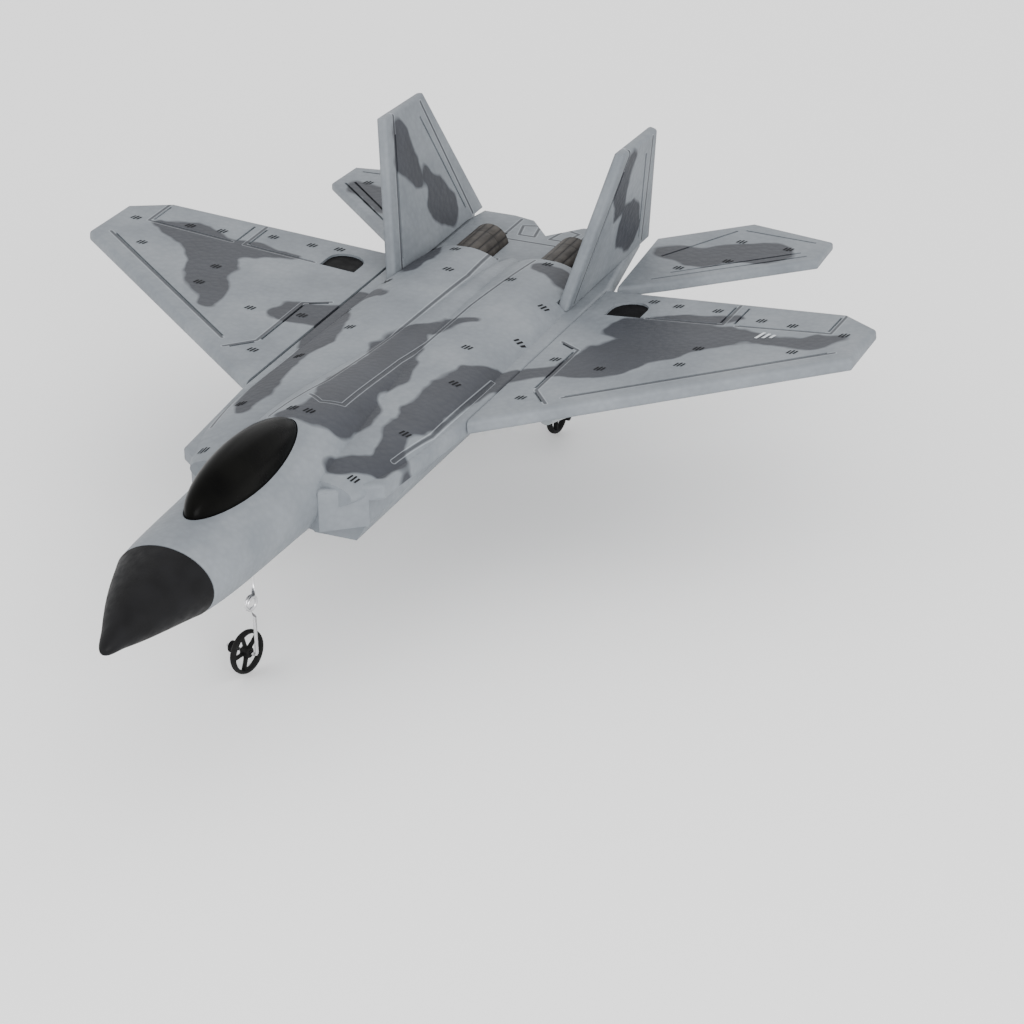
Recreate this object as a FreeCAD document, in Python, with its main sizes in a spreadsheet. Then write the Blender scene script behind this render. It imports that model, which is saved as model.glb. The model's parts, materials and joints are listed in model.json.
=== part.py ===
import FreeCAD, Part
import math
import os
import Sketcher

# Radio controlled foam jet. +Z up, nose toward -Y, +X is the port wing.
# Stations run aft from the nose tip; heights are measured from the wing datum.
V = FreeCAD.Vector
doc = FreeCAD.newDocument("rc_jet_plane")

DIMS = {
    "half_length": 180.0, "datum_height": 62.0,
    "foam_thick": 5.0, "wing_dihedral": 4.6, "wing_root_x": 41.0, "wing_drop": -8.3,
    "half_span": 145.0, "stab_thick": 4.0, "stab_base": -6.0,
    "fin_thick": 4.0, "fin_cant": 14.0, "fin_x": 33.0, "fin_base": 0.6, "fin_room_gap": 0.3,
    "plate_thick": 6.0, "cheek_depth": 13.2, "belly_width": 61.0, "belly_depth": 14.2, "belly_front": 112.3,
    "belly_rear": 279.0, "belly_top": -6.3, "bay_width": 27.0, "bay_front": 122.0,
    "bay_length": 114.0, "bay_depth": 11.2, "hatch_front": 125.0, "hatch_length": 38.0,
    "hatch_width": 24.0, "hatch_gap": 0.3, "hatch_thick": 1.9, "skin": 0.8,
    "canopy_station": 89.5, "canopy_half_length": 34.5, "canopy_half_width": 9.4,
    "canopy_rise": 12.5, "canopy_centre": 8.5, "canopy_seat": 6.0,
    "pod_x": 55.0, "pod_front": 196.0, "pod_length": 80.0, "pod_radius": 6.0,
    "motor_axis": -9.5, "motor_radius": 4.25, "motor_length": 20.0, "motor_station": 255.8,
    "shaft_radius": 0.5, "shaft_bore": 0.55, "prop_station": 283.0, "prop_radius": 15.0,
    "prop_hub_radius": 2.4, "prop_hub_length": 5.0, "blade_width": 4.2, "blade_thick": 0.9,
    "blade_pitch": 28.0, "wheel_radius": 7.5, "wheel_width": 3.4, "wheel_bore": 0.66,
    "wire_radius": 0.6, "axle_height": -54.5, "nose_leg_x": 2.6, "nose_leg_station": 87.0,
    "nose_leg_top": -8.0, "nose_steer": -11.5, "coil_radius": 2.3, "coil_height": -36.0,
    "main_leg_x": 12.0, "main_leg_station": 287.0, "main_leg_top": -7.0,
    "spar_radius": 1.0, "spar_length": 60.0, "spar_station": 225.0,
    "nozzle_x": 16.5, "nozzle_station": 284.0, "nozzle_length": 22.0, "nozzle_radius": 7.0,
    "nozzle_height": -0.8,
}

sheet = doc.addObject("Spreadsheet::Sheet", "dims")
for row, (alias, value) in enumerate(DIMS.items(), start=1):
    sheet.set("A%d" % row, alias)
    sheet.set("B%d" % row, repr(value))
    sheet.setAlias("B%d" % row, alias)
doc.recompute()

NODES = {}


def swung(obj, axis, angle, x, station, height):
    """Turn a finished piece about an axis through the given point."""
    doc.recompute()
    centre = V(x, station - DIMS["half_length"], height + DIMS["datum_height"])
    swing = FreeCAD.Placement(V(0, 0, 0), FreeCAD.Rotation(V(*axis), angle), centre)
    obj.Placement = swing.multiply(obj.Placement)
    return obj


def bind(obj, **expressions):
    """Drive properties from the sheet; double underscores stand for dots."""
    for prop, expression in expressions.items():
        obj.setExpression(prop.replace("__", "."), expression)


def place(obj, x="0", station="0", height="0"):
    """Put an object at a side distance, a station from the nose and a height from the datum."""
    bind(obj, Placement__Base__x=x, Placement__Base__y="%s - dims.half_length" % station,
         Placement__Base__z="%s + dims.datum_height" % height)


def turn(obj, axis, angle):
    obj.Placement = FreeCAD.Placement(obj.Placement.Base, FreeCAD.Rotation(V(*axis), angle))


def primitive(kind, name, x="0", station="0", height="0", axis=None, angle=0.0, **expressions):
    obj = doc.addObject("Part::" + kind, name)
    if axis:
        turn(obj, axis, angle)
    place(obj, x, station, height)
    bind(obj, **expressions)
    return obj


def box(name, x, station, height, width, length, depth):
    return primitive("Box", name, x, station, height, Length=width, Width=length, Height=depth)


def tube_along(name, direction, x, station, height, radius, length):
    """Cylinder running along +X, +Y (aft) or +Z from the given point."""
    turns = {"x": ((0, 1, 0), 90), "y": ((1, 0, 0), -90), "z": (None, 0)}
    axis, angle = turns[direction]
    return primitive("Cylinder", name, x, station, height, axis, angle,
                     Radius=radius, Height=length)


def cut(name, base, tools):
    if len(tools) > 1:
        joined = doc.addObject("Part::MultiFuse", name + "_cutters")
        joined.Shapes = tools
        tool = joined
    else:
        tool = tools[0]
    obj = doc.addObject("Part::Cut", name)
    obj.Base = base
    obj.Tool = tool
    return obj


def fuse(name, shapes):
    obj = doc.addObject("Part::MultiFuse", name)
    obj.Shapes = shapes
    return obj


def new_body(name):
    return doc.addObject("PartDesign::Body", name)


def origin_plane(body, role):
    return [f for f in body.Origin.OriginFeatures if f.Role == role][0]


def new_sketch(body, name, role, offset=0.0):
    sketch = body.newObject("Sketcher::SketchObject", name)
    sketch.AttachmentSupport = [(origin_plane(body, role), "")]
    sketch.MapMode = "FlatFace"
    sketch.AttachmentOffset = FreeCAD.Placement(V(0, 0, offset), FreeCAD.Rotation())
    return sketch


def polygon(sketch, corners):
    """Closed outline with every corner joined and located from the origin."""
    count = len(corners)
    for index, corner in enumerate(corners):
        after = corners[(index + 1) % count]
        sketch.addGeometry(Part.LineSegment(V(*corner, 0), V(*after, 0)), False)
    for index in range(count):
        after = (index + 1) % count
        sketch.addConstraint(Sketcher.Constraint("Coincident", index, 2, after, 1))
    for index in range(count):
        sketch.addConstraint(Sketcher.Constraint("Block", index))


def pad_outline(name, role, corners, thickness, symmetric=False):
    body = new_body(name)
    sketch = new_sketch(body, name + "_outline", role)
    polygon(sketch, corners)
    pad = body.newObject("PartDesign::Pad", name + "_pad")
    pad.Profile = sketch
    pad.Midplane = symmetric
    bind(pad, Length=thickness)
    doc.recompute()
    return body


def soften(body, size, wanted):
    """Round the edges of the body's tip that the test accepts."""
    doc.recompute()
    tip = body.Tip
    names = ["Edge%d" % (i + 1) for i, edge in enumerate(tip.Shape.Edges) if wanted(edge)]
    rounding = body.newObject("PartDesign::Fillet", body.Name + "_round")
    rounding.Base = (tip, names)
    rounding.Radius = size
    doc.recompute()
    return body


def loft_ellipses(name, sections, side=0.0):
    """Loft through ellipses: station, half width, half height, centre height."""
    body = new_body(name)
    sketches = []
    for index, (station, half_width, half_height, centre) in enumerate(sections):
        sketch = new_sketch(body, "%s_section_%d" % (name, index), "XZ_Plane", -station)
        curve = Part.Ellipse(V(side, centre, 0), half_width, half_height)
        sketch.addGeometry(curve, False)
        sketches.append(sketch)
    loft = body.newObject("PartDesign::AdditiveLoft", name + "_loft")
    loft.Profile = sketches[0]
    loft.Sections = sketches[1:]
    doc.recompute()
    place(body)
    return body


def keep(node, obj):
    obj.Label = node
    NODES[node] = obj
    return obj


def other_side(node, source):
    """Starboard twin of a port piece."""
    twin = doc.addObject("Part::Mirroring", node)
    twin.Source = source
    twin.Normal = V(1, 0, 0)
    twin.Base = V(0, 0, 0)
    return keep(node, twin)


def both_sides(stem, source):
    keep(stem + "_left", source)
    other_side(stem + "_right", source)


def is_long(limit):
    return lambda edge: edge.Length > limit


# ---- upper fuselage: body plate, nose tube and spine, hollowed for canopy and nozzles ----
PLATE = [(0, 108), (19.3, 102), (36.2, 115.2), (40.5, 165), (40.5, 281), (31, 331), (18, 331),
         (9.5, 329), (0, 318)]
plate_outline = PLATE + [(-x, s) for x, s in reversed(PLATE[1:-1])]
plate = pad_outline("body_plate", "XY_Plane", plate_outline, "dims.plate_thick")
place(plate, height="-dims.plate_thick")
soften(plate, 1.6, lambda e: e.Length > 4 and abs(e.Vertexes[0].Z - e.Vertexes[1].Z) < 0.1)
nose_tube = loft_ellipses("nose_tube", [
    (38.4, 17.0, 12.2, -4.7), (62, 18.2, 14.0, -5.0), (90, 18.8, 15.2, -4.6),
    (127, 19.6, 17.2, -3.5), (170, 17.0, 14.0, -3.5), (220, 12.0, 10.0, -3.5),
    (290, 5.5, 5.2, -3.4)])
shoulder_right = loft_ellipses("shoulder_right", [
    (106, 13.0, 4.6, -2.6), (126, 20.0, 7.6, -2.8), (170, 22.0, 9.6, -3.0),
    (240, 20.0, 10.4, -3.2), (284, 16.5, 9.6, -3.4)], -16.0)
shoulder_left = doc.addObject("Part::Mirroring", "shoulder_left")
shoulder_left.Source = shoulder_right
shoulder_left.Normal = V(1, 0, 0)
shoulder_left.Base = V(0, 0, 0)
CHEEK = [(12, 112), (12, 103.6), (19.3, 102), (32.1, 112)]
cheeks = []
for side, sign in (("left", 1), ("right", -1)):
    cheek = pad_outline("intake_cheek_" + side, "XY_Plane", [(sign * x, s) for x, s in CHEEK],
                        "dims.cheek_depth")
    place(cheek, height="-1 - dims.cheek_depth")
    cheeks.append(cheek)
upper_solid = fuse("upper_solid", [plate, nose_tube, shoulder_right, shoulder_left] + cheeks)
under_plate = box("under_plate", "-40", "112.0", "-40", "80", "220", "34")


def canopy_shape(name, extra):
    return primitive("Ellipsoid", name, "0", "dims.canopy_station", "dims.canopy_centre",
                     Radius1="dims.canopy_rise + %s" % extra,
                     Radius2="dims.canopy_half_width + %s" % extra,
                     Radius3="dims.canopy_half_length + %s" % extra)


canopy_room = cut("canopy_room", canopy_shape("canopy_room_skin", "0.3"),
                  [box("canopy_room_floor", "-30", "0", "-40", "60", "200",
                       "40 + dims.canopy_seat - 0.3")])
nozzle_rooms = [tube_along("nozzle_room_" + side, "y", sign + "dims.nozzle_x",
                           "dims.nozzle_station - 0.3", "dims.nozzle_height",
                           "dims.nozzle_radius + 0.3", "dims.nozzle_length + 0.6")
                for side, sign in (("left", ""), ("right", "-"))]
bush_room = tube_along("bush_room", "z", "dims.nose_leg_x", "dims.nose_leg_station", "-24",
                       "3.8", "18.5")
upper = cut("upper_bored", upper_solid,
            [under_plate, canopy_room, bush_room] + nozzle_rooms)
for side, sign in (("left", 1), ("right", -1)):
    fin_room = doc.addObject("Part::Box", "fin_room_" + side)
    fin_room.Length = DIMS["fin_thick"] + 2 * DIMS["fin_room_gap"]
    fin_room.Width = 74.0
    fin_room.Height = 30.0
    lean = FreeCAD.Rotation(V(0, 1, 0), sign * DIMS["fin_cant"])
    corner = lean.multVec(V(-DIMS["fin_thick"] / 2 - DIMS["fin_room_gap"], 257.6,
                            -DIMS["fin_room_gap"]))
    foot = V(sign * DIMS["fin_x"], -DIMS["half_length"],
             DIMS["fin_base"] + DIMS["datum_height"])
    fin_room.Placement = FreeCAD.Placement(corner + foot, lean)
    upper = cut("upper_slotted_" + side, upper, [fin_room])
keep("fuselage_upper", upper)

# ---- nose cone ----
keep("nose_cone", loft_ellipses("nose_cone", [
    (38.0, 17.0, 12.2, -4.7), (30, 14.3, 10.5, -5.2), (20, 10.6, 8.1, -6.3),
    (10, 6.1, 5.0, -7.8), (4, 3.5, 3.1, -8.8), (1.2, 2.2, 2.0, -9.4), (0, 1.3, 1.2, -9.6)]))

# ---- canopy: thin clear-black shell open underneath ----
canopy_floor = box("canopy_floor", "-30", "0", "-40", "60", "200", "40 + dims.canopy_seat")
keep("canopy", cut("canopy", canopy_shape("canopy_skin", "0"),
                   [canopy_shape("canopy_hollow", "(-dims.skin)"), canopy_floor]))

# ---- belly with equipment bay, hatch opening and switch slot ----
BELLY = [(-30.5, 0), (30.5, 0), (30.5, -8.5), (27.0, -14.2), (12, -14.2), (11, -13.2),
         (-11, -13.2), (-12, -14.2), (-27.0, -14.2), (-30.5, -8.5)]
belly_block = new_body("belly_block")
belly_sketch = new_sketch(belly_block, "belly_front_view", "XZ_Plane")
polygon(belly_sketch, BELLY)
belly_pad = belly_block.newObject("PartDesign::Pad", "belly_pad")
belly_pad.Profile = belly_sketch
belly_pad.Reversed = True
bind(belly_pad, Length="dims.belly_rear - dims.belly_front")
place(belly_block, station="dims.belly_front", height="dims.belly_top")
doc.recompute()
tail_ramp = pad_outline("tail_ramp", "YZ_Plane", [(232, -40), (232, -21), (290, -8.3), (290, -40)],
                        "90", True)
place(tail_ramp)
bay = box("bay", "-dims.bay_width / 2", "dims.bay_front", "dims.belly_top - dims.bay_depth",
          "dims.bay_width", "dims.bay_length", "dims.bay_depth + 1")
hatch_hole = box("hatch_hole", "-dims.hatch_width / 2", "dims.hatch_front", "-30",
                 "dims.hatch_width", "dims.hatch_length", "20")
switch_slot = box("switch_slot", "-1.5", "212", "-30", "3", "7.2", "20")
belly = cut("fuselage_belly", belly_block, [tail_ramp, bay, hatch_hole, switch_slot])
keep("fuselage_belly", belly)

# ---- battery hatch and what the bay holds ----
hatch_panel = box("hatch_panel", "-dims.hatch_width / 2 + dims.hatch_gap",
                  "dims.hatch_front + dims.hatch_gap + dims.hatch_thick / 2", "-19.5",
                  "dims.hatch_width - 2 * dims.hatch_gap",
                  "dims.hatch_length - 2 * dims.hatch_gap - dims.hatch_thick / 2",
                  "dims.hatch_thick")
hatch_barrel = tube_along("hatch_barrel", "x", "-dims.hatch_width / 2 + dims.hatch_gap",
                          "dims.hatch_front + dims.hatch_gap + dims.hatch_thick / 2",
                          "-19.5 + dims.hatch_thick / 2", "dims.hatch_thick / 2",
                          "dims.hatch_width - 2 * dims.hatch_gap")
keep("battery_hatch", fuse("battery_hatch", [hatch_panel, hatch_barrel]))
keep("battery_pack", box("battery_pack", "-10", "126", "-17.2", "20", "35", "6.8"))
keep("battery_foam_pad", box("battery_foam_pad", "-10", "126", "-10.2", "20", "35", "3.7"))
plug_shell = box("plug_shell", "-3.5", "165", "-15", "7", "8", "4.5")
plug_slot = box("plug_slot", "-2.5", "170", "-14", "5", "4", "2.5")
keep("battery_plug", cut("battery_plug", plug_shell, [plug_slot]))
board = box("board_sheet", "-9", "180", "-13", "18", "26", "1")
chips = [box("chip_main", "-3", "188", "-12", "6", "6", "1.1"),
         box("chip_radio", "3.5", "196", "-12", "3.5", "3.5", "0.9"),
         box("crystal", "-7.5", "182", "-12", "3", "8", "2.6")]
keep("receiver_board", cut("receiver_board", fuse("board_parts", [board] + chips),
                           [tube_along("board_hole", "z", "7", "183", "-20", "0.8", "20")]))
switch_block = box("switch_block", "-3", "210.5", "-17.2", "6", "10.5", "4.5")
switch_room = box("switch_room", "-1.6", "212", "-18", "3.2", "7.2", "3.8")
keep("switch_case", cut("switch_case", switch_block, [switch_room]))
keep("switch_slider", box("slider_knob", "-1.2", "212.6", "-21.4", "2.4", "3", "6.6"))

def grooves(stem, lines, level, width=0.9, depth=0.8):
    """Straight pressed-in panel lines; each runs between two outline points at one level."""
    made = []
    for number, ((x0, s0), (x1, s1)) in enumerate(lines):
        line = doc.addObject("Part::Box", "%s_%d" % (stem, number))
        run = math.hypot(x1 - x0, s1 - s0)
        gap_x = 1.5 * (x1 - x0) / run
        gap_s = 1.5 * (s1 - s0) / run
        line.Length = run - 3.0
        line.Width = width
        line.Height = depth + 2
        heading = math.degrees(math.atan2(s1 - s0, x1 - x0))
        line.Placement = FreeCAD.Placement(V(x0 + gap_x, s0 + gap_s, level - depth),
                                           FreeCAD.Rotation(V(0, 0, 1), heading))
        made.append(line)
    return made


# ---- wings: foam slab outline, rounded edges, spar bore and the pod cover opening ----
WING = [(41.2, 166), (146, 242.8), (145, 268.4), (131.4, 278), (41.2, 281.3)]
COVER_CENTRE = (55.5, 266.5)


def cover_outline(grow):
    """D shape: straight leading edge, round trailing edge."""
    centre_x, centre_s = COVER_CENTRE
    radius = 6.6 + grow
    corners = [(centre_x - radius, centre_s - 6.6 - grow), (centre_x + radius, centre_s - 6.6 - grow)]
    for step in range(9):
        angle = math.pi * step / 8
        corners.append((centre_x + radius * math.cos(angle), centre_s + 0.9 * radius * math.sin(angle)))
    return corners


def lean_wing(body):
    turn(body, (0, 1, 0), -DIMS["wing_dihedral"])
    place(body, height="dims.wing_drop")
    return body


def spar(name, start, radius, length):
    """Rod lying in the middle of the wing slab, tilted with its dihedral."""
    lean = math.radians(DIMS["wing_dihedral"])
    middle = DIMS["foam_thick"] / 2
    along = DIMS["wing_root_x"] + start
    side = along * math.cos(lean) - middle * math.sin(lean)
    rise = along * math.sin(lean) + middle * math.cos(lean)
    return primitive("Cylinder", name, repr(side), "dims.spar_station",
                     "dims.wing_drop + %r" % rise, (0, 1, 0), 90 - DIMS["wing_dihedral"],
                     Radius=radius, Height=length)


wing_slab = soften(pad_outline("wing_slab", "XY_Plane", WING, "dims.foam_thick"), 1.7,
                   lambda e: e.Length > 14 and e.CenterOfMass.x > 42)
cover_hole = pad_outline("cover_hole", "XY_Plane", cover_outline(0.2), "dims.foam_thick")
WING_LINES = [((63.5, 191), (138, 245.5)), ((64, 260), (92, 260)), ((92, 260), (92, 277)),
              ((97, 260), (131, 260.5)), ((97, 260), (97, 277)), ((131, 260.5), (131, 276)),
              ((60, 185.5), (52.3, 195)), ((52.3, 195), (52.3, 229)), ((52.3, 229), (44, 234.5))]
wing_detail = cut("wing_detail", wing_slab,
                  [cover_hole] + grooves("wing_line", WING_LINES, DIMS["foam_thick"]))
wing = cut("wing", lean_wing(wing_detail),
           [spar("spar_bore", -2, "dims.spar_radius + 0.03", "dims.spar_length + 6")])
both_sides("wing", wing)
both_sides("wing_spar", spar("spar_rod", 1, "dims.spar_radius", "dims.spar_length"))
both_sides("pod_cover", lean_wing(pad_outline("cover_plate", "XY_Plane", cover_outline(0.0),
                                              "dims.foam_thick - 0.8")))

# ---- stabilizers ----
STAB = [(41.0, 287.5), (55, 299), (97.1, 337.5), (96, 354.8), (63.7, 360), (36.8, 335)]
stab = soften(pad_outline("stab", "XY_Plane", STAB, "dims.stab_thick"), 1.4,
              lambda e: e.Length > 12 and e.CenterOfMass.x > 45)
STAB_LINES = [((48, 298), (93.5, 339.5)), ((52, 306), (90.5, 341.5)), ((44, 318), (62, 352)),
              ((62, 352), (92.5, 350.5))]
stab_detail = cut("stab_detail", stab, grooves("stab_line", STAB_LINES, DIMS["stab_thick"]))
place(stab_detail, x="0", height="dims.stab_base")
both_sides("stabilizer", stab_detail)

# ---- canted fins ----
FIN = [(258.1, 0), (331, 0), (310, 51.5), (280.1, 52.8)]
fin = soften(pad_outline("fin", "YZ_Plane", FIN, "dims.fin_thick", True), 1.4,
             lambda e: e.Length > 12 and e.CenterOfMass.z > 5)
fin_cuts = []
for face in (-1, 1):
    for number, (start, end) in enumerate([((267.5, 4.5), (284, 45)), ((318.5, 4.5), (303.5, 45))]):
        line = doc.addObject("Part::Box", "fin_line_%d_%d" % (number, face + 1))
        line.Length = 3.0
        line.Width = math.hypot(end[0] - start[0], end[1] - start[1])
        line.Height = 0.9
        steep = math.degrees(math.atan2(end[1] - start[1], end[0] - start[0]))
        side = DIMS["fin_thick"] / 2 - 0.6 if face > 0 else -DIMS["fin_thick"] / 2 - 2.4
        line.Placement = FreeCAD.Placement(V(side, *start), FreeCAD.Rotation(V(1, 0, 0), steep))
        fin_cuts.append(line)
fin_detail = cut("fin_detail", fin, fin_cuts)
turn(fin_detail, (0, 1, 0), DIMS["fin_cant"])
place(fin_detail, x="dims.fin_x", height="dims.fin_base")
both_sides("fin", fin_detail)

# ---- exhaust nozzles ----
nozzle_tube = tube_along("nozzle_tube", "y", "dims.nozzle_x", "dims.nozzle_station",
                         "dims.nozzle_height", "dims.nozzle_radius", "dims.nozzle_length")
nozzle_bore = tube_along("nozzle_bore", "y", "dims.nozzle_x", "dims.nozzle_station + 8",
                         "dims.nozzle_height", "dims.nozzle_radius - 1.4", "60")
nozzle_floor = box("nozzle_floor", "0", "200", "-40", "60", "200", "34.4")
both_sides("exhaust_nozzle", cut("exhaust_nozzle", nozzle_tube, [nozzle_bore, nozzle_floor]))

# ---- motor pods, motors, shafts and pusher propellers ----
pod_nose = primitive("Cone", "pod_nose", "dims.pod_x", "dims.pod_front", "dims.motor_axis",
                     (1, 0, 0), -90, Radius1="2.4", Radius2="dims.pod_radius", Height="16")
pod_tube = tube_along("pod_tube", "y", "dims.pod_x", "dims.pod_front + 16", "dims.motor_axis",
                      "dims.pod_radius", "dims.pod_length - 16")
motor_bore = tube_along("motor_bore", "y", "dims.pod_x", "dims.motor_station - 0.2",
                        "dims.motor_axis", "dims.motor_radius + 0.05", "60")
pod_hollow = tube_along("pod_hollow", "y", "dims.pod_x", "dims.pod_front + 16",
                        "dims.motor_axis", "dims.pod_radius - 2.4", "60")
pod_top = box("pod_top", "40", "180", "-4.9", "30", "120", "20")
both_sides("motor_pod", cut("motor_pod", fuse("pod_solid", [pod_nose, pod_tube]),
                            [motor_bore, pod_hollow, pod_top]))
motor_can = tube_along("motor_can", "y", "dims.pod_x", "dims.motor_station", "dims.motor_axis",
                       "dims.motor_radius", "dims.motor_length")
motor_boss = tube_along("motor_boss", "y", "dims.pod_x",
                        "dims.motor_station + dims.motor_length - 0.5", "dims.motor_axis",
                        "1.4", "1.6")
motor_hole = tube_along("motor_hole", "y", "dims.pod_x", "dims.motor_station + 4",
                        "dims.motor_axis", "dims.shaft_bore", "60")
both_sides("motor", cut("motor", fuse("motor_solid", [motor_can, motor_boss]), [motor_hole]))
both_sides("motor_shaft", tube_along("motor_shaft", "y", "dims.pod_x",
                                     "dims.motor_station + 4.4", "dims.motor_axis",
                                     "dims.shaft_radius", "25.2"))
hub = tube_along("prop_hub", "y", "dims.pod_x", "dims.prop_station - 2.5", "dims.motor_axis",
                 "dims.prop_hub_radius", "dims.prop_hub_length")
blades = []
for side, sign in (("up", 1), ("down", -1)):
    blade = primitive("Ellipsoid", "blade_" + side, "dims.pod_x", "dims.prop_station",
                      "dims.motor_axis + %d * (dims.prop_radius / 2 + 0.6)" % sign,
                      (0, 0, 1), 90 + sign * (90 - DIMS["blade_pitch"]),
                      Radius1="dims.prop_radius / 2 - 0.6", Radius2="dims.blade_width / 2",
                      Radius3="dims.blade_thick / 2")
    blades.append(blade)
prop_bore = tube_along("prop_bore", "y", "dims.pod_x", "dims.prop_station - 10",
                       "dims.motor_axis", "dims.shaft_radius", "12.2")
both_sides("propeller", swung(cut("propeller", fuse("prop_solid", [hub] + blades), [prop_bore]),
                              (0, 1, 0), 90, DIMS["pod_x"], DIMS["prop_station"],
                              DIMS["motor_axis"]))

# ---- nose gear: bush in the foam, steering wire with a coil, wheel and hub cap ----
LEG = ("dims.nose_leg_x", "dims.nose_leg_station")
bush_solid = tube_along("bush_solid", "z", *LEG, "-21.4", "3.5", "15.5")
bush_bore = tube_along("bush_bore", "z", *LEG, "-40", "dims.wire_radius + 0.05", "40")
keep("nose_gear_bush", cut("nose_gear_bush", bush_solid, [bush_bore]))


def wire_leg(name, x, station, top, axle_length, coil):
    """Vertical wire, rounded elbow and an axle toward -X, with an optional spring coil."""
    leg = [tube_along(name + "_post", "z", x, station, "dims.axle_height", "dims.wire_radius",
                      "%s - dims.axle_height" % top),
           primitive("Sphere", name + "_elbow", x, station, "dims.axle_height",
                     Radius="dims.wire_radius"),
           tube_along(name + "_axle", "x", "%s - %s" % (x, axle_length), station,
                      "dims.axle_height", "dims.wire_radius", axle_length)]
    if coil:
        leg.append(primitive("Torus", name + "_coil", "%s + dims.wire_radius" % x,
                             "%s - dims.coil_radius" % station, "dims.coil_height",
                             (0, 1, 0), 90, Radius1="dims.coil_radius",
                             Radius2="dims.wire_radius"))
    return fuse(name, leg)


def wheel(name, x, station):
    tyre = tube_along(name + "_tyre", "x", "%s - dims.wheel_width / 2" % x, station,
                      "dims.axle_height", "dims.wheel_radius", "dims.wheel_width")
    doc.recompute()
    rounding = doc.addObject("Part::Fillet", name + "_rounded")
    rounding.Base = tyre
    rounding.Edges = [(i + 1, 1.2, 1.2) for i, edge in enumerate(tyre.Shape.Edges)
                      if edge.Closed and edge.Length > 30]
    dishes = [tube_along(name + "_dish_out", "x", "%s + dims.wheel_width / 2 - 0.5" % x, station,
                         "dims.axle_height", "4.4", "10"),
              tube_along(name + "_dish_in", "x", "%s - dims.wheel_width / 2 - 9.5" % x, station,
                         "dims.axle_height", "4.4", "10"),
              tube_along(name + "_bore", "x", "%s - 20" % x, station, "dims.axle_height",
                         "dims.wheel_bore", "40")]
    return cut(name, rounding, dishes)


def cap(name, x, station):
    """Push-on retainer at the end of an axle."""
    disc = tube_along(name + "_disc", "x", "%s - 1.6" % x, station, "dims.axle_height", "2.0",
                      "1.6")
    hole = tube_along(name + "_hole", "x", "%s - 0.9" % x, station, "dims.axle_height",
                      "dims.wire_radius", "3")
    return cut(name, disc, [hole])


def steered(node, obj):
    """Turn a nose gear piece about the steering axis to its heading at rest."""
    return keep(node, swung(obj, (0, 0, 1), DIMS["nose_steer"], DIMS["nose_leg_x"],
                            DIMS["nose_leg_station"], 0.0))


steered("nose_gear_leg", wire_leg("nose_gear_leg", *LEG, "dims.nose_leg_top", "9.9", True))
steered("nose_wheel", wheel("nose_wheel", "dims.nose_leg_x - 4.2", LEG[1]))
steered("nose_wheel_cap", cap("nose_wheel_cap", "dims.nose_leg_x - 9.0", LEG[1]))
collar_disc = tube_along("collar_disc", "z", *LEG, "-23.2", "2.2", "1.5")
collar_hole = tube_along("collar_hole", "z", *LEG, "-40", "dims.wire_radius", "40")
steered("nose_gear_collar", cut("nose_gear_collar", collar_disc, [collar_hole]))

# ---- main gear: mount plate under the tail, wires, wheels and hub caps ----
mount_plate = box("mount_plate", "-22", "280.5", "-9.4", "44", "13", "3.2")
mount_holes = []
for side, sign in (("left", ""), ("right", "-")):
    mount_holes.append(tube_along("mount_wire_hole_" + side, "z", sign + "dims.main_leg_x",
                                  "dims.main_leg_station", "-30", "dims.wire_radius", "60"))
    mount_holes.append(tube_along("mount_screw_hole_" + side, "z", sign + "18.5", "290.5", "-30",
                                  "0.8", "60"))
keep("main_gear_mount", cut("main_gear_mount", mount_plate, mount_holes))


def screw(name, x):
    head = tube_along(name + "_head", "z", x, "290.5", "-10.5", "1.6", "1.1")
    shank = tube_along(name + "_shank", "z", x, "290.5", "-9.6", "0.78", "3.3")
    return fuse(name, [head, shank])


screws = doc.addObject("Part::Compound", "mount_screws")
screws.Links = [screw("screw_left", "18.5"), screw("screw_right", "-18.5")]
keep("mount_screws", screws)
main_leg = doc.addObject("Part::Mirroring", "main_gear_leg")
main_leg.Source = wire_leg("main_leg_wire", "-dims.main_leg_x", "dims.main_leg_station",
                           "dims.main_leg_top", "9.9", False)
main_leg.Normal = V(1, 0, 0)
both_sides("main_gear_leg", main_leg)
both_sides("main_wheel", wheel("main_wheel", "dims.main_leg_x + 5.2", "dims.main_leg_station"))
main_cap = doc.addObject("Part::Mirroring", "main_cap")
main_cap.Source = cap("main_cap_disc", "-dims.main_leg_x - 8.6", "dims.main_leg_station")
main_cap.Normal = V(1, 0, 0)
both_sides("main_wheel_cap", main_cap)

doc.recompute()

# ---- checks and export ----
for obj in doc.Objects:
    if "Invalid" in obj.State or "Error" in obj.State:
        raise RuntimeError("%s is in state %s" % (obj.Label, obj.State))
os.makedirs("parts", exist_ok=True)
for node, obj in NODES.items():
    shape = obj.Shape
    if shape.isNull() or not shape.isValid():
        raise RuntimeError("%s has no valid shape" % node)
    shape.exportStep("parts/%s.step" % node)
    bounds = shape.BoundBox
    print("%-22s solids %d volume %8.1f  x %6.1f %6.1f  y %6.1f %6.1f  z %6.1f %6.1f" % (
        node, len(shape.Solids), shape.Volume, bounds.XMin, bounds.XMax, bounds.YMin,
        bounds.YMax, bounds.ZMin, bounds.ZMax))
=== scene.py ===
import json
import math
import bmesh
import bpy
from mathutils import Matrix, Vector
from mathutils.bvhtree import BVHTree


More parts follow.
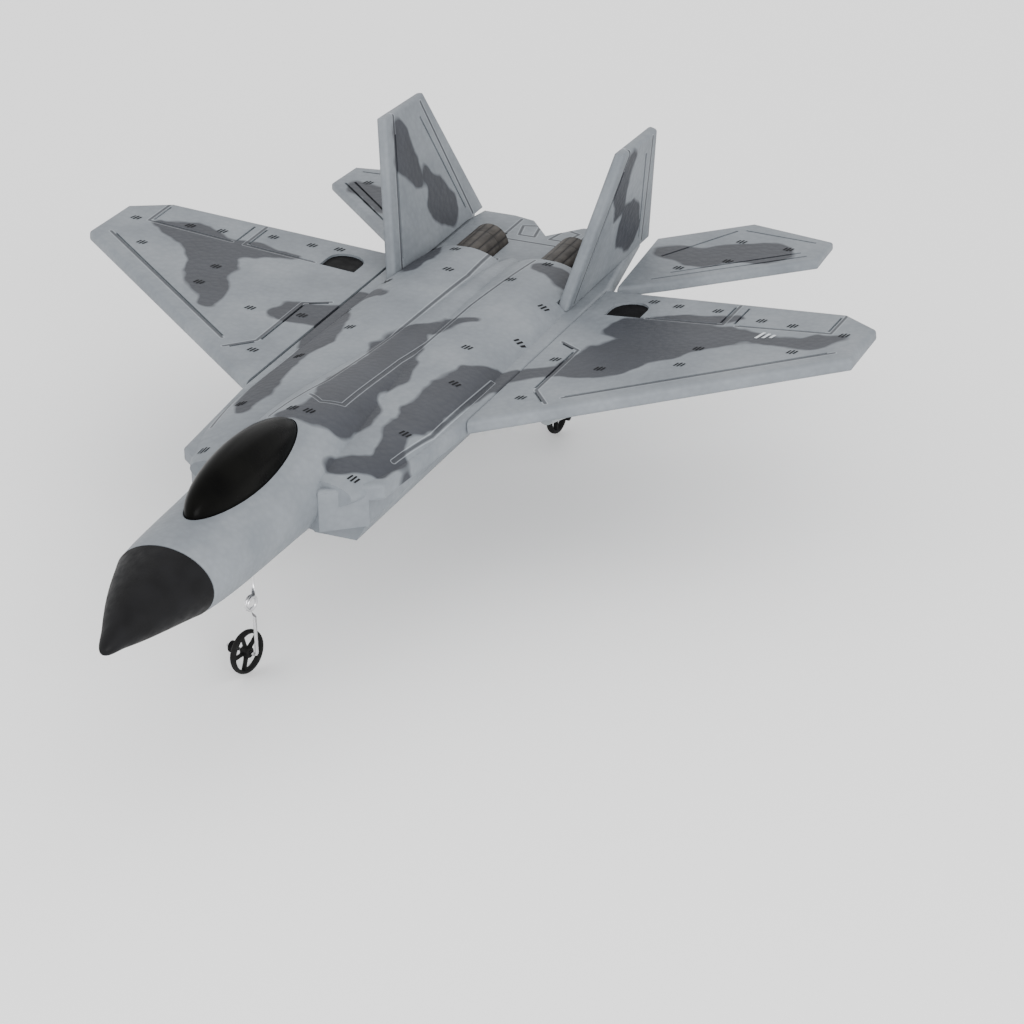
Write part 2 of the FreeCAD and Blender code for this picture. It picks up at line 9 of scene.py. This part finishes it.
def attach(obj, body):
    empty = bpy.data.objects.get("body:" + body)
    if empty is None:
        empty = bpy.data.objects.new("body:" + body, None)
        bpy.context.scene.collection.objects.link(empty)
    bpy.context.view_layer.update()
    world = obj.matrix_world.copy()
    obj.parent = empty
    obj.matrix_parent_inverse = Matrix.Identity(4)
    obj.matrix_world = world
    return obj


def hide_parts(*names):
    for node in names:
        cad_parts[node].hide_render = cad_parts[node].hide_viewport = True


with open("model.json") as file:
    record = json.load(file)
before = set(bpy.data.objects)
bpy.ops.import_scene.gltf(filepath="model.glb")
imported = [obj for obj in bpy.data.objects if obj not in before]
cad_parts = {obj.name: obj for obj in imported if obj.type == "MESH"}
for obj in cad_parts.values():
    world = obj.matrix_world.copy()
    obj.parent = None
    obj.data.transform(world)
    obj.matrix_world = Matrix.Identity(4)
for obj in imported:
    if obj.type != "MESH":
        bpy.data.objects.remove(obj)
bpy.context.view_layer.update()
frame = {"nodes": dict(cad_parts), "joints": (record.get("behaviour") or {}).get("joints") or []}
MM = 0.001
HALF_LENGTH = 180.0
DATUM_HEIGHT = 62.0


def mm(x, station, height):
    """Side distance, station aft of the nose tip and height above the wing datum, in mm."""
    return Vector((x, station - HALF_LENGTH, height + DATUM_HEIGHT)) * MM


# ---------------------------------------------------------------- materials
class Nodes:
    """Short ways to add shader nodes to one material."""

    def __init__(self, name):
        self.mat = bpy.data.materials.new(name)
        self.mat.use_nodes = True
        self.tree = self.mat.node_tree
        self.shader = self.tree.nodes["Principled BSDF"]
        self.coords = self.add("ShaderNodeTexCoord").outputs["Object"]

    def add(self, kind, **props):
        node = self.tree.nodes.new(kind)
        for key, value in props.items():
            setattr(node, key, value)
        return node

    def link(self, source, target):
        self.tree.links.new(source, target)

    def math(self, operation, a, b=0.0):
        node = self.add("ShaderNodeMath", operation=operation)
        for socket, value in zip(node.inputs, (a, b)):
            if isinstance(value, (int, float)):
                socket.default_value = value
            else:
                self.link(value, socket)
        return node.outputs[0]

    def vector(self, operation, a, b):
        node = self.add("ShaderNodeVectorMath", operation=operation)
        for socket, value in zip(node.inputs, (a, b)):
            if isinstance(value, (tuple, Vector)):
                socket.default_value = value
            else:
                self.link(value, socket)
        return node.outputs["Value" if operation in ("LENGTH", "DISTANCE") else "Vector"]

    def noise(self, scale, detail=3.0, coords=None):
        node = self.add("ShaderNodeTexNoise")
        node.inputs["Scale"].default_value = scale
        node.inputs["Detail"].default_value = detail
        self.link(coords or self.coords, node.inputs["Vector"])
        return node

    def cells(self, scale):
        node = self.add("ShaderNodeTexVoronoi", feature="F1")
        node.inputs["Scale"].default_value = scale
        self.link(self.coords, node.inputs["Vector"])
        return node.outputs["Distance"]

    def ramp(self, value, stops):
        node = self.add("ShaderNodeValToRGB")
        while len(node.color_ramp.elements) > len(stops):
            node.color_ramp.elements.remove(node.color_ramp.elements[-1])
        while len(node.color_ramp.elements) < len(stops):
            node.color_ramp.elements.new(0.5)
        for element, (place, colour) in zip(node.color_ramp.elements, stops):
            element.position = place
            element.color = (*colour, 1.0)
        self.link(value, node.inputs["Fac"])
        return node.outputs["Color"]

    def mix(self, fac, a, b):
        node = self.add("ShaderNodeMix", data_type="RGBA")
        if isinstance(fac, (int, float)):
            node.inputs["Factor"].default_value = fac
        else:
            self.link(fac, node.inputs["Factor"])
        for socket, value in ((node.inputs[6], a), (node.inputs[7], b)):
            if isinstance(value, tuple):
                socket.default_value = (*value, 1.0)
            else:
                self.link(value, socket)
        return node.outputs[2]

    def bump(self, height, strength, distance):
        node = self.add("ShaderNodeBump")
        node.inputs["Strength"].default_value = strength
        node.inputs["Distance"].default_value = distance
        self.link(height, node.inputs["Height"])
        self.link(node.outputs["Normal"], self.shader.inputs["Normal"])

    def set(self, **values):
        for name, value in values.items():
            self.shader.inputs[name.replace("_", " ")].default_value = value
        return self.mat


FOAM_LIGHT = (0.150, 0.167, 0.185)
FOAM_PALE = (0.200, 0.219, 0.238)
FOAM_DARK = (0.030, 0.033, 0.041)

# Camouflage bands as chains of (side distance, station, half width) in mm.
CAMO = {
    "fuselage_upper": [
        [(-42, 224, 10), (-38, 238, 7), (-26, 236, 3)],
        [(-38, 218, 8), (-31, 205, 7), (-30, 176, 6), (-29, 158, 6), (-27, 140, 4)],
        [(-2, 124, 4), (8, 131, 8), (9, 142, 10), (4, 158, 9), (5, 176, 9), (1, 197, 8),
         (0, 214, 6), (7, 223, 4), (15, 227, 2)],
        [(21, 116, 5), (29, 121, 5), (31, 129, 6), (28, 141, 4), (28, 153, 6), (29, 170, 7),
         (32, 190, 7), (40, 203, 5)],
        [(18, 277, 5), (27, 272, 6)], [(-27, 262, 5), (-30, 284, 6)]],
    "wing_left": [
        [(40, 203, 5), (53, 212, 5), (62, 217, 10), (67, 226, 13), (76, 238, 14), (88, 248, 10),
         (102, 254, 5), (120, 251, 3), (129, 254, 6), (134, 257, 3)],
        [(62, 250, 9), (83, 261, 5), (96, 268, 2)]],
    "wing_right": [
        [(-127, 261, 3), (-113, 260, 8), (-99, 251, 11), (-94, 236, 9), (-85, 222, 6),
         (-80, 212, 4)],
        [(-99, 253, 10), (-86, 257, 6), (-71, 260, 1.5)],
        [(-58, 218, 4), (-51, 222, 8), (-41, 224, 10)]],
    "stabilizer_left": [[(46, 324, 7), (56, 323, 8), (66, 330, 8), (78, 336, 10)]],
    "stabilizer_right": [[(-86, 337, 5), (-76, 333, 7), (-64, 323, 7), (-50, 313, 6)]],
    "fuselage_belly": [],
}
# Pressed-in seams as chains of (side distance, station) in mm; the foam colour gets painted shade in the
# grooves and a painted highlight on their rims.
WING_SEAMS = [[(63.5, 191), (138, 245.5)], [(64, 260), (92, 260), (92, 277)],
              [(97, 260), (131, 260.5), (131, 276)],
              [(60, 185.5), (52.3, 195), (52.3, 229), (44, 234.5)]]
SEAMS = {
    "fuselage_upper": [[(-9, 124), (-4, 155), (-6, 212), (-5, 263), (-7, 291)],
                       [(9, 141), (7, 186), (8, 238), (12, 282)],
                       [(9, 141), (3, 137), (-3, 141)], [(33, 128), (36, 150), (36, 196)],
                       [(-33, 128), (-36, 150), (-36, 196)], [(-25, 309), (25, 309)],
                       [(-14, 309), (-14, 327)], [(14, 309), (14, 327)],
                       [(-9, 314), (-3, 314), (-5, 324), (-11, 322), (-9, 314)],
                       [(9, 314), (3, 314), (5, 324), (11, 322), (9, 314)]],
    "fuselage_belly": [[(-14, 120), (-14, 270)], [(14, 120), (14, 270)]],
    "wing_left": WING_SEAMS,
    "wing_right": [[(-x, station) for x, station in chain] for chain in WING_SEAMS],
    "stabilizer_left": [], "stabilizer_right": [],
}


def stretch_distance(n, place, start, end, plane):
    """Distance from the shaded point to a line piece, seen along the axis left out of plane."""
    along = end - start
    keep = n.vector("MULTIPLY", n.vector("SUBTRACT", place, start), plane)
    dot = n.add("ShaderNodeVectorMath", operation="DOT_PRODUCT")
    n.link(keep, dot.inputs[0])
    dot.inputs[1].default_value = along / max(along.length_squared, 1e-12)
    share = n.add("ShaderNodeClamp")
    n.link(dot.outputs["Value"], share.inputs["Value"])
    scaled = n.add("ShaderNodeVectorMath", operation="SCALE")
    scaled.inputs[0].default_value = along
    n.link(share.outputs[0], scaled.inputs["Scale"])
    gap = n.vector("LENGTH", n.vector("SUBTRACT", keep, scaled.outputs["Vector"]), (0, 0, 0))
    return gap, share.outputs[0]


def band_cover(n, bands, plane=(1, 1, 0), locate=None):
    """Smallest signed distance to a set of bands, in metres; negative inside."""
    warp = n.noise(60.0, 2.0)
    shift = n.vector("SUBTRACT", warp.outputs["Color"], (0.5, 0.5, 0.5))
    place = n.vector("ADD", n.coords, n.vector("MULTIPLY", shift, (0.011, 0.011, 0.011)))
    locate = locate or (lambda x, station: mm(x, station, -DATUM_HEIGHT))
    nearest = None
    for band in bands:
        for (x0, s0, r0), (x1, s1, r1) in zip(band, band[1:]):
            gap, share = stretch_distance(n, place, locate(x0, s0), locate(x1, s1), plane)
            radius = n.math("ADD", n.math("MULTIPLY", share, (r1 - r0) * MM), r0 * MM)
            edge = n.math("SUBTRACT", gap, radius)
            nearest = edge if nearest is None else n.math("SMOOTH_MIN", nearest, edge)
            if nearest.node.operation == "SMOOTH_MIN":
                nearest.node.inputs[2].default_value = 0.0025
    return nearest


def foam_surface(n, camo_distance, seam_distance, upright=False, seams_on_top_only=False):
    """Moulded bead foam: mottled grey, soft-edged dark bands, pressed seams drawn with painted shade in the
    groove and a painted highlight along its rims, bead texture.
    """
    colour = n.ramp(n.noise(48.0, 4.0).outputs["Fac"], [(0.32, FOAM_LIGHT), (0.70, FOAM_PALE)])
    facing = n.add("ShaderNodeSeparateXYZ")
    n.link(n.add("ShaderNodeNewGeometry").outputs["Normal"], facing.inputs[0])
    above = n.ramp(n.math("ADD", facing.outputs["Z"], 0.6), [(0.35, (0, 0, 0)), (0.5, (1, 1, 1))])
    if camo_distance is not None:
        spread = n.math("ADD", n.math("MULTIPLY", camo_distance, 380.0), 0.5)
        cover = n.ramp(spread, [(0.25, (1, 1, 1)), (0.75, (0, 0, 0))])
        shown = cover if upright else n.math("MULTIPLY", cover, above)
        dark = n.ramp(n.noise(70.0, 3.0).outputs["Fac"],
                      [(0.3, FOAM_DARK), (0.75, tuple(c * 1.22 for c in FOAM_DARK))])
        colour = n.mix(shown, colour, dark)
    beads = n.cells(430.0)
    height = n.math("MULTIPLY", beads, -1.0)
    if seam_distance is not None:
        # Painted shade: near-black colour along the seam groove, the recess that the bump also sinks.
        line = n.ramp(n.math("MULTIPLY", seam_distance, 1000.0),
                      [(0.30, (1, 1, 1)), (0.62, (0, 0, 0))])
        # Painted highlight: a lighter band on both rims of each seam groove.
        rim = n.ramp(n.math("MULTIPLY", seam_distance, 1000.0),
                     [(0.60, (0, 0, 0)), (0.80, (1, 1, 1)), (0.98, (0, 0, 0))])
        if seams_on_top_only:
            line = n.math("MULTIPLY", line, above)
            rim = n.math("MULTIPLY", rim, above)
        # Mix in the painted rim highlight, then the painted groove shade.
        colour = n.mix(n.math("MULTIPLY", rim, 0.50), colour, (0.40, 0.43, 0.46))
        colour = n.mix(n.math("MULTIPLY", line, 0.85), colour, (0.030, 0.033, 0.040))
        height = n.math("SUBTRACT", height, n.math("MULTIPLY", line, 2.5))
    tone = n.add("ShaderNodeMix", data_type="RGBA", blend_type="MULTIPLY")
    tone.inputs["Factor"].default_value = 1.0
    n.link(colour, tone.inputs[6])
    n.link(n.ramp(beads, [(0.0, (1, 1, 1)), (0.9, (0.88, 0.88, 0.89))]), tone.inputs[7])
    n.link(tone.outputs[2], n.shader.inputs["Base Color"])
    n.bump(height, 0.30, 0.0004)
    return n.set(Roughness=0.58, Specular_IOR_Level=0.30)


def foam(node):
    """Foam look of one lying piece, mapped from above."""
    n = Nodes("foam_" + node)
    camo = band_cover(n, CAMO[node]) if CAMO[node] else None
    seams = None
    flat = Vector((1, 1, 0))
    for chain in SEAMS[node]:
        for start, end in zip(chain, chain[1:]):
            gap = stretch_distance(n, n.coords, mm(*start, -DATUM_HEIGHT), mm(*end, -DATUM_HEIGHT), flat)[0]
            seams = gap if seams is None else n.math("MINIMUM", seams, gap)
    return foam_surface(n, camo, seams, seams_on_top_only=node != "fuselage_belly")


FIN_CAMO = [[(287, 45, 5), (286, 36, 7), (290, 27, 5)], [(298, 24, 4), (301, 16, 8), (309, 9, 6)]]


def fin_foam(name):
    """Foam look of a fin, mapped from the side."""
    n = Nodes(name)
    camo = band_cover(n, FIN_CAMO, (0, 1, 1), lambda station, height: mm(0.0, station, height))
    upright = Vector((0, 1, 1))
    front = stretch_distance(n, n.coords, mm(0, 264, 1), mm(0, 285.5, 51), upright)[0]
    rear = stretch_distance(n, n.coords, mm(0, 322, 2), mm(0, 306, 49), upright)[0]
    return foam_surface(n, camo, n.math("MINIMUM", front, rear), upright=True)


def plain(name, colour, other, rough, grain, strength=0.15, metal=0.0, coat=0.0,
          shine=0.5):
    """Moulded plastic, wire or rubber with slight tone variation and a fine surface grain."""
    n = Nodes(name)
    tone = n.ramp(n.noise(grain / 6, 3.0).outputs["Fac"], [(0.35, colour), (0.7, other)])
    n.link(tone, n.shader.inputs["Base Color"])
    spread = n.ramp(n.noise(grain / 3, 2.0).outputs["Fac"],
                    [(0.3, (rough * 0.85,) * 3), (0.75, (min(1.0, rough * 1.2),) * 3)])
    n.link(spread, n.shader.inputs["Roughness"])
    n.bump(n.noise(grain, 3.0).outputs["Fac"], strength, 0.0002)
    return n.set(Metallic=metal, Coat_Weight=coat, Coat_Roughness=0.08, Specular_IOR_Level=shine)


black = plain("satin_black", (0.0025, 0.0025, 0.003), (0.005, 0.005, 0.006), 0.68, 900, shine=0.08)
cone_black = plain("cone_black", (0.003, 0.003, 0.0035), (0.006, 0.006, 0.007), 0.58, 1100,
                   0.25, shine=0.14)
glass_black = plain("canopy_gloss", (0.0015, 0.0015, 0.0015), (0.004, 0.004, 0.0035), 0.30, 300,
                    0.04, coat=0.0, shine=0.03)
grey = plain("pod_grey", (0.20, 0.22, 0.23), (0.25, 0.27, 0.28), 0.45, 800)
steel = plain("drawn_wire", (0.55, 0.55, 0.56), (0.68, 0.68, 0.70), 0.28, 1500, 0.1, metal=1.0)
rubber = plain("wheel_rubber", (0.004, 0.004, 0.004), (0.009, 0.009, 0.009), 0.7, 1200, 0.3,
               shine=0.15)
board_green = plain("board_green", (0.01, 0.09, 0.04), (0.015, 0.12, 0.05), 0.4, 600)
wrap = plain("battery_wrap", (0.40, 0.42, 0.46), (0.46, 0.48, 0.52), 0.25, 300, 0.2, coat=0.3)
pad_grey = plain("pad_foam", (0.05, 0.05, 0.055), (0.09, 0.09, 0.09), 0.9, 700, 0.6)
def petal_look(name, x, height):
    """Dark exhaust tube with long petals; painted shade darkens the gaps between them and faint rings
    across them.
    """
    n = Nodes(name)
    part = n.add("ShaderNodeSeparateXYZ")
    n.link(n.coords, part.inputs[0])
    centre = mm(x, 0, height)
    turn = n.math("ARCTAN2", n.math("SUBTRACT", part.outputs["Z"], centre.z),
                  n.math("SUBTRACT", part.outputs["X"], centre.x))
    strip = n.math("ABSOLUTE", n.math("SINE", n.math("MULTIPLY", turn, 7.0)))
    ring = n.math("ABSOLUTE", n.math("SINE", n.math("MULTIPLY", part.outputs["Y"], 185.0)))
    # Painted shade: this mask falls to zero in the gaps between petals and at faint rings across them,
    # where the colour goes near black; it also drives the bump.
    edge = n.math("MULTIPLY", n.math("POWER", strip, 0.5), n.math("POWER", ring, 0.15))
    petal = n.ramp(n.noise(220.0, 3.0).outputs["Fac"],
                   [(0.3, (0.022, 0.019, 0.017)), (0.7, (0.060, 0.053, 0.047))])
    colour = n.mix(n.ramp(edge, [(0.25, (0, 0, 0)), (0.75, (1, 1, 1))]), (0.006, 0.005, 0.005),
                   petal)
    n.link(colour, n.shader.inputs["Base Color"])
    n.bump(edge, 0.5, 0.0006)
    return n.set(Roughness=0.6, Specular_IOR_Level=0.2)


NOZZLE_X = 16.5
NOZZLE_HEIGHT = -0.8
LOOKS = {
    **{node: foam(node) for node in CAMO},
    "fin_left": fin_foam("foam_fin_port"), "fin_right": fin_foam("foam_fin_starboard"),
    "nose_cone": cone_black, "canopy": glass_black, "motor_pod_left": grey,
    "motor_pod_right": grey, "motor_left": steel, "motor_right": steel,
    "motor_shaft_left": steel, "motor_shaft_right": steel, "main_gear_leg_left": steel,
    "main_gear_leg_right": steel, "mount_screws": steel, "battery_pack": wrap,
    "battery_foam_pad": pad_grey, "receiver_board": board_green,
    "exhaust_nozzle_left": petal_look("nozzle_petals_port", NOZZLE_X, NOZZLE_HEIGHT),
    "exhaust_nozzle_right": petal_look("nozzle_petals_starboard", -NOZZLE_X, NOZZLE_HEIGHT),
}
for node, obj in frame["nodes"].items():
    look = LOOKS.get(node, black)
    obj.data.materials.clear()
    obj.data.materials.append(look)


# ---------------------------------------------------------------- pieces in mesh code
def piece(name, bm, look, body, stands_for=(), smooth=True):
    """Turn a bmesh into an object that rides on a body and may stand in for CAD nodes."""
    mesh = bpy.data.meshes.new(name)
    bmesh.ops.recalc_face_normals(bm, faces=bm.faces)
    bm.to_mesh(mesh)
    bm.free()
    obj = bpy.data.objects.new(name, mesh)
    bpy.context.scene.collection.objects.link(obj)
    for face in mesh.polygons:
        face.use_smooth = smooth
    mesh.materials.append(look)
    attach(obj, body)
    if stands_for:
        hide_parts(*stands_for)
    return obj


def tube(bm, path, radius, sides=14):
    """Round tube along a list of points, with closed ends."""
    rings = []
    for index, point in enumerate(path):
        before = path[max(index - 1, 0)]
        after = path[min(index + 1, len(path) - 1)]
        along = (after - before).normalized()
        helper = Vector((0, 0, 1)) if abs(along.z) < 0.9 else Vector((1, 0, 0))
        across = along.cross(helper).normalized()
        other = along.cross(across)
        ring = []
        for k in range(sides):
            angle = 2 * math.pi * k / sides
            ring.append(bm.verts.new(point + radius * (math.cos(angle) * across
                                                       + math.sin(angle) * other)))
        rings.append(ring)
    for a, b in zip(rings, rings[1:]):
        # match the nearest vertex so the tube doesn't twist where its frame changes
        start = min(range(sides), key=lambda k: (b[k].co - a[0].co).length)
        flip = (b[(start + 1) % sides].co - a[1].co).length > (
            b[(start - 1) % sides].co - a[1].co).length
        step = -1 if flip else 1
        for k in range(sides):
            bm.faces.new((a[k], a[(k + 1) % sides], b[(start + step * (k + 1)) % sides],
                          b[(start + step * k) % sides]))
        b[:] = [b[(start + step * k) % sides] for k in range(sides)]
    bm.faces.new(rings[0])
    bm.faces.new(rings[-1])


def lathe(bm, centre, axis, profile, sides=48):
    """Turned form: profile is a closed loop of (along axis, radius) in metres."""
    axis = axis.normalized()
    helper = Vector((0, 0, 1)) if abs(axis.z) < 0.9 else Vector((1, 0, 0))
    across = axis.cross(helper).normalized()
    other = axis.cross(across)
    rings = []
    for k in range(sides):
        angle = 2 * math.pi * k / sides
        out = math.cos(angle) * across + math.sin(angle) * other
        rings.append([bm.verts.new(centre + axis * a + out * r) for a, r in profile])
    count = len(profile)
    for k in range(sides):
        here, there = rings[k], rings[(k + 1) % sides]
        for j in range(count):
            bm.faces.new((here[j], here[(j + 1) % count], there[(j + 1) % count], there[j]))
    return across, other


def joint(name):
    """The frame's facts about one joint."""
    return next(j for j in frame["joints"] if j["name"] == name)


def wheel(name, joint_name, body, node):
    """Thin-rimmed wheel: rounded tyre, five spokes and a drilled hub."""
    facts = joint(joint_name)
    centre = Vector(facts["pos_m"])
    axis = Vector(facts["axis"]).normalized()
    bm = bmesh.new()
    tyre = [(math.cos(a) * 1.2 * MM, (6.8 + 0.7 * math.sin(a)) * MM)
            for a in (2 * math.pi * k / 16 for k in range(16))]
    lathe(bm, centre, axis, tyre)
    hub = [(-1.7, 0.66), (1.7, 0.66), (1.7, 1.5), (1.4, 1.8), (-1.4, 1.8), (-1.7, 1.5)]
    across, other = lathe(bm, centre, axis, [(a * MM, r * MM) for a, r in hub], 32)
    for k in range(5):
        angle = 2 * math.pi * k / 5
        out = math.cos(angle) * across + math.sin(angle) * other
        side = axis.cross(out)
        corners = []
        for r, half in ((1.6, 0.45), (3.6, 0.30), (6.2, 0.42)):
            for a, b in ((-1, -1), (1, -1), (1, 1), (-1, 1)):
                corners.append(bm.verts.new(centre + out * r * MM + side * half * a * MM
                                            + axis * 0.7 * b * MM))
        for level in (0, 4):
            for j in range(4):
                bm.faces.new((corners[level + j], corners[level + (j + 1) % 4],
                              corners[level + 4 + (j + 1) % 4], corners[level + 4 + j]))
        bm.faces.new(corners[:4])
        bm.faces.new(corners[8:])
    piece(name, bm, rubber, body, (node,))


wheel("nose_wheel_spoked", "nose_wheel_roll", "nose_wheel", "nose_wheel")
wheel("main_wheel_left_spoked", "main_wheel_roll_left", "main_wheel_left", "main_wheel_left")
wheel("main_wheel_right_spoked", "main_wheel_roll_right", "main_wheel_right", "main_wheel_right")


def propeller(name, side):
    """Two twisted blades blended into a domed hub."""
    body = "propeller_" + side
    facts = joint("propeller_spin_" + side)
    centre = Vector(facts["pos_m"])
    hand = 1 if side == "left" else -1
    bm = bmesh.new()
    hub = [(-2.5, 0.5), (2.0, 0.5), (2.4, 1.2), (1.8, 1.9), (-2.2, 2.3), (-2.5, 2.1)]
    lathe(bm, centre, Vector((0, 1, 0)), [(a * MM, r * MM) for a, r in hub], 32)
    for direction in (1, -1):
        rings = []
        for radius, chord, pitch in ((1.8, 2.4, 48), (4, 3.8, 38), (7, 4.4, 30), (10, 4.2, 24),
                                     (12.6, 3.2, 19), (14.3, 1.7, 17), (14.9, 0.6, 16)):
            angle = math.radians(pitch) * hand
            ring = []
            for k in range(12):
                turn = 2 * math.pi * k / 12
                u = math.cos(turn) * chord / 2
                v = math.sin(turn) * 0.42
                ring.append(bm.verts.new(centre + Vector((
                    direction * radius, u * math.sin(angle) + v * math.cos(angle),
                    direction * (u * math.cos(angle) - v * math.sin(angle)))) * MM))
            rings.append(ring)
        for a, b in zip(rings, rings[1:]):
            for k in range(12):
                bm.faces.new((a[k], a[(k + 1) % 12], b[(k + 1) % 12], b[k]))
        bm.faces.new(rings[0])
        bm.faces.new(rings[-1])
    piece(name, bm, black, body, ("propeller_" + side,))


propeller("propeller_left_blades", "left")
propeller("propeller_right_blades", "right")


def nose_wire():
    """One bent wire: post, one and a half turns of spring coil, post and axle."""
    pivot = Vector(joint("nose_steer")["pos_m"])
    axle = Vector(joint("nose_wheel_roll")["axis"]).normalized()
    wheel_at = Vector(joint("nose_wheel_roll")["pos_m"])
    forward = axle.cross(Vector((0, 0, 1)))
    forward = forward if forward.y < 0 else -forward
    points = [Vector((pivot.x, pivot.y, 0.0535)), Vector((pivot.x, pivot.y, 0.035))]
    hub = Vector((pivot.x, pivot.y, 0.0275)) + forward * 2.2 * MM
    for k in range(1, 28):
        turn = math.pi * 2 * k / 18
        points.append(hub - forward * 2.2 * MM * math.cos(turn)
                      + Vector((0, 0, 2.2 * MM * math.sin(turn))) + axle * 0.05 * MM * k)
    foot = Vector((pivot.x, pivot.y, 0.0))
    points.append(foot + Vector((0, 0, 0.0215)))
    points.append(foot + Vector((0, 0, 0.0092)))
    for k in range(5):
        turn = math.pi / 2 * k / 4
        points.append(foot + Vector((0, 0, 0.0087 - 0.0012 * math.sin(turn)))
                      - axle * 0.0012 * (1 - math.cos(turn)))
    points.append(foot + Vector((0, 0, wheel_at.z)) - axle * 0.0122)
    bm = bmesh.new()
    tube(bm, points, 0.6 * MM)
    piece("nose_gear_wire", bm, steel, "nose_leg", ("nose_gear_leg",))


nose_wire()


# ---------------------------------------------------------------- paint marks lying on the foam
def surface_tree(*nodes):
    """Search tree over the faces of the given CAD nodes."""
    verts, faces = [], []
    for node in nodes:
        mesh = frame["nodes"][node].data
        base = len(verts)
        verts.extend(v.co.copy() for v in mesh.vertices)
        faces.extend([base + i for i in p.vertices] for p in mesh.polygons)
    return BVHTree.FromPolygons(verts, faces)


UPPER = surface_tree("fuselage_upper", "wing_left", "wing_right", "stabilizer_left",
                     "stabilizer_right")
LIFT = 0.12 * MM


def drop(x, station):
    """Point just above the foam, straight below the given plan position; None off the model."""
    hit = UPPER.ray_cast(mm(x, station, 60.0), Vector((0, 0, -1)))[0]
    return None if hit is None else hit + Vector((0, 0, LIFT))


def decal(bm, corners):
    """One flat painted patch laid on the foam, skipped where a corner misses it."""
    points = [drop(x, s) for x, s in corners]
    if all(points):
        bm.faces.new([bm.verts.new(p) for p in points])


def ticks(name, spots, look, lean=0.35):
    """Small groups of three slanting painted strokes."""
    bm = bmesh.new()
    for x, station in spots:
        for k in (-1, 0, 1):
            half = 1.25 if k else 1.6
            mid = x + k * 1.2
            decal(bm, [(mid - 0.32 - lean, station - half), (mid + 0.32 - lean, station - half),
                       (mid + 0.32 + lean, station + half), (mid - 0.32 + lean, station + half)])
    piece(name, bm, look, "airframe", (), smooth=False)


tick_paint = plain("stencil_paint", (0.005, 0.005, 0.006), (0.010, 0.011, 0.013), 0.7, 700, shine=0.1)
pale_paint = plain("pale_paint", (0.50, 0.53, 0.56), (0.60, 0.62, 0.65), 0.6, 700)
WING_TICKS = [(136, 260), (124, 243), (104, 266), (92, 239), (48, 220), (71, 272), (50, 188),
              (91, 225), (116, 264), (66, 216), (86, 271), (61, 274)]
BODY_TICKS = [(3, 129), (30, 143), (15, 312), (18, 280), (33, 224), (29, 182), (22, 206),
              (30, 250), (12, 262), (27, 112)]
STAB_TICKS = [(68, 324), (66, 342), (84, 342), (54, 312)]
both = [(side * x, s) for x, s in WING_TICKS + BODY_TICKS + STAB_TICKS for side in (1, -1)]
ticks("stencil_marks", both, tick_paint)


def plain_marking(name, x, station):
    """Generic marking: three short slanting stripes of falling length."""
    bm = bmesh.new()
    for k, half in enumerate((2.6, 2.0, 1.4)):
        left = x + 2.4 * k
        decal(bm, [(left, station - half), (left + 1.1, station - half),
                   (left + 1.1 + half * 0.5, station + half), (left + half * 0.5, station + half)])
    piece(name, bm, pale_paint, "airframe", (), smooth=False)


plain_marking("wing_marking", 107.0, 254.0)

# ---------------------------------------------------------------- floor, light, camera
bm = bmesh.new()
bmesh.ops.create_grid(bm, x_segments=1, y_segments=1, size=6.0)
FLOOR_GAP = 0.6 * MM
floor_mesh = bpy.data.meshes.new("floor")
bm.to_mesh(floor_mesh)
bm.free()
floor = bpy.data.objects.new("floor", floor_mesh)
bpy.context.scene.collection.objects.link(floor)
floor.location.z = -FLOOR_GAP
white = bpy.data.materials.new("floor_white")
white.use_nodes = True
white.node_tree.nodes["Principled BSDF"].inputs["Base Color"].default_value = (0.96, 0.96, 0.96, 1)
white.node_tree.nodes["Principled BSDF"].inputs["Roughness"].default_value = 0.9
floor.data.materials.append(white)

world = bpy.data.worlds.new("studio")
world.use_nodes = True
world.node_tree.nodes["Background"].inputs["Color"].default_value = (1, 1, 1, 1)
world.node_tree.nodes["Background"].inputs["Strength"].default_value = 1.42
bpy.context.scene.world = world


def lamp(name, place, size, power):
    """Square soft light aimed at the middle of the plane."""
    data = bpy.data.lights.new(name, "AREA")
    data.size = size
    data.energy = power
    obj = bpy.data.objects.new(name, data)
    bpy.context.scene.collection.objects.link(obj)
    obj.location = place
    obj.rotation_euler = (Vector((0, 0, 0.05)) - Vector(place)).to_track_quat("-Z", "Y").to_euler()
    return obj


lamp("key", (0.80, -1.0, 0.50), 0.7, 15.0)
lamp("fill", (-0.9, -0.7, 0.5), 1.0, 2.5)
lamp("rim", (-0.2, 1.0, 0.8), 0.8, 2.5)

view = bpy.data.cameras.new("camera")
view.lens = 140.92
view.sensor_width = 36.0
view.clip_start = 0.05
camera = bpy.data.objects.new("camera", view)
bpy.context.scene.collection.objects.link(camera)
right = Vector((0.906383, 0.421903, -0.021633))
up = Vector((-0.173484, 0.418412, 0.891535))
back = Vector((0.385193, -0.804319, 0.452435))
rotation = Matrix((right, up, back)).transposed().to_4x4()
camera.matrix_world = Matrix.Translation(Vector((0.561809, -1.069508, 0.625876))) @ rotation
bpy.context.scene.camera = camera

bpy.context.view_layer.update()
